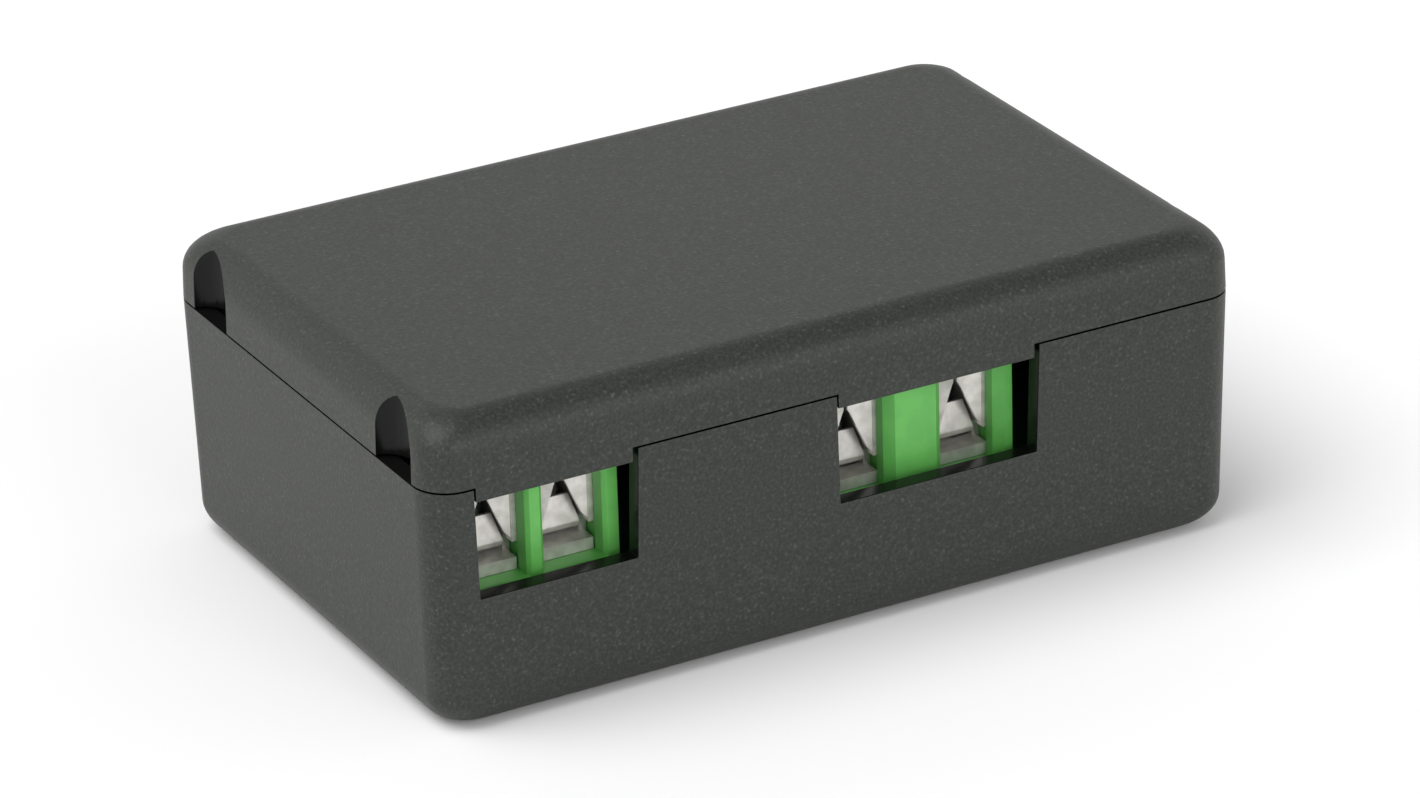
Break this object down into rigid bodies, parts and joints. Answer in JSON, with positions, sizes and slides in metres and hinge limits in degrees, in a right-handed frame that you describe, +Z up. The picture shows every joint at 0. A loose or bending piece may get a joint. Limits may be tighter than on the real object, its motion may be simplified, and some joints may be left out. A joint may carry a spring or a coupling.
{
  "type": "surge protection module",
  "caption": "Small black snap-together case whose front windows show green screw terminals; a board inside clamps voltage surges on a pair of wires.",
  "frame": {"origin": "middle of the case's footprint, on the surface that it stands on", "axes": "+X along the long front side, from the input terminal to the output terminal; +Z up; the windows face -Y"},
  "size_m": [0.055, 0.0354, 0.0199],
  "materials": {
    "case_plastic": "fine spark-eroded texture, black with a grey bloom",
    "board_resin": "green solder resist over glass-fibre laminate",
    "terminal_plastic": "satin moulded polyamide, bright green",
    "tinned_brass": "bright tin plating on brass",
    "screw_steel": "zinc plated steel",
    "fuse_resin": "satin black thermoplastic",
    "tube_ceramic": "off-white ceramic between nickel-plated end caps",
    "choke_winding": "enamelled copper winding on a ferrite drum",
    "varistor_lacquer": "blue epoxy lacquer",
    "diode_resin": "black moulded epoxy"
  },
  "bodies": {
    "base": {"base_shell": "case_plastic", "circuit_board": "board_resin", "input_terminal_housing": "terminal_plastic", "output_terminal_housing": "terminal_plastic", "line_fuse_1": "fuse_resin", "line_fuse_2": "fuse_resin", "gas_discharge_tube": "tube_ceramic", "line_choke_1": "choke_winding", "line_choke_2": "choke_winding", "line_varistor_1": "varistor_lacquer", "line_varistor_2": "varistor_lacquer", "suppressor_diode": "diode_resin", "board_screw_1": "screw_steel", "board_screw_2": "screw_steel", "board_screw_3": "screw_steel", "board_screw_4": "screw_steel", "clamp_contact_input_1": "tinned_brass", "clamp_contact_input_2": "tinned_brass", "clamp_contact_output_1": "tinned_brass", "clamp_contact_output_2": "tinned_brass"},
    "lid": {"lid_shell": "case_plastic"},
    "leaf_input_1": {"clamp_leaf_input_1": "tinned_brass"},
    "screw_input_1": {"clamp_screw_input_1": "screw_steel"},
    "leaf_input_2": {"clamp_leaf_input_2": "tinned_brass"},
    "screw_input_2": {"clamp_screw_input_2": "screw_steel"},
    "leaf_output_1": {"clamp_leaf_output_1": "tinned_brass"},
    "screw_output_1": {"clamp_screw_output_1": "screw_steel"},
    "leaf_output_2": {"clamp_leaf_output_2": "tinned_brass"},
    "screw_output_2": {"clamp_screw_output_2": "screw_steel"}
  },
  "joints": [
    {"name": "lid_lift", "type": "slide", "parent": "base", "child": "lid", "axis": [0, 0, 1], "range_m": [0, 0.03]},
    {"name": "leaf_travel_input_1", "type": "slide", "parent": "base", "child": "leaf_input_1", "axis": [0, 0, 1], "range_m": [-0.00025, 0.002]},
    {"name": "screw_turn_input_1", "type": "hinge", "parent": "leaf_input_1", "child": "screw_input_1", "pos_m": [-0.02228, -0.0104, 0.0127], "axis": [0, 0, 1], "range_deg": [-183, 1444]},
    {"name": "leaf_travel_input_2", "type": "slide", "parent": "base", "child": "leaf_input_2", "axis": [0, 0, 1], "range_m": [-0.00025, 0.002]},
    {"name": "screw_turn_input_2", "type": "hinge", "parent": "leaf_input_2", "child": "screw_input_2", "pos_m": [-0.0172, -0.0104, 0.0127], "axis": [0, 0, 1], "range_deg": [-183, 1444]},
    {"name": "leaf_travel_output_1", "type": "slide", "parent": "base", "child": "leaf_output_1", "axis": [0, 0, 1], "range_m": [-0.00025, 0.002]},
    {"name": "screw_turn_output_1", "type": "hinge", "parent": "leaf_output_1", "child": "screw_output_1", "pos_m": [0.00214, -0.0104, 0.0127], "axis": [0, 0, 1], "range_deg": [-183, 1444]},
    {"name": "leaf_travel_output_2", "type": "slide", "parent": "base", "child": "leaf_output_2", "axis": [0, 0, 1], "range_m": [-0.00025, 0.002]},
    {"name": "screw_turn_output_2", "type": "hinge", "parent": "leaf_output_2", "child": "screw_output_2", "pos_m": [0.00976, -0.0104, 0.0127], "axis": [0, 0, 1], "range_deg": [-183, 1444]}
  ],
  "couplings": [
    {"joint": "screw_turn_input_1", "follows": "leaf_travel_input_1", "rad_per_m": 12566},
    {"joint": "screw_turn_input_2", "follows": "leaf_travel_input_2", "rad_per_m": 12566},
    {"joint": "screw_turn_output_1", "follows": "leaf_travel_output_1", "rad_per_m": 12566},
    {"joint": "screw_turn_output_2", "follows": "leaf_travel_output_2", "rad_per_m": 12566}
  ]
}
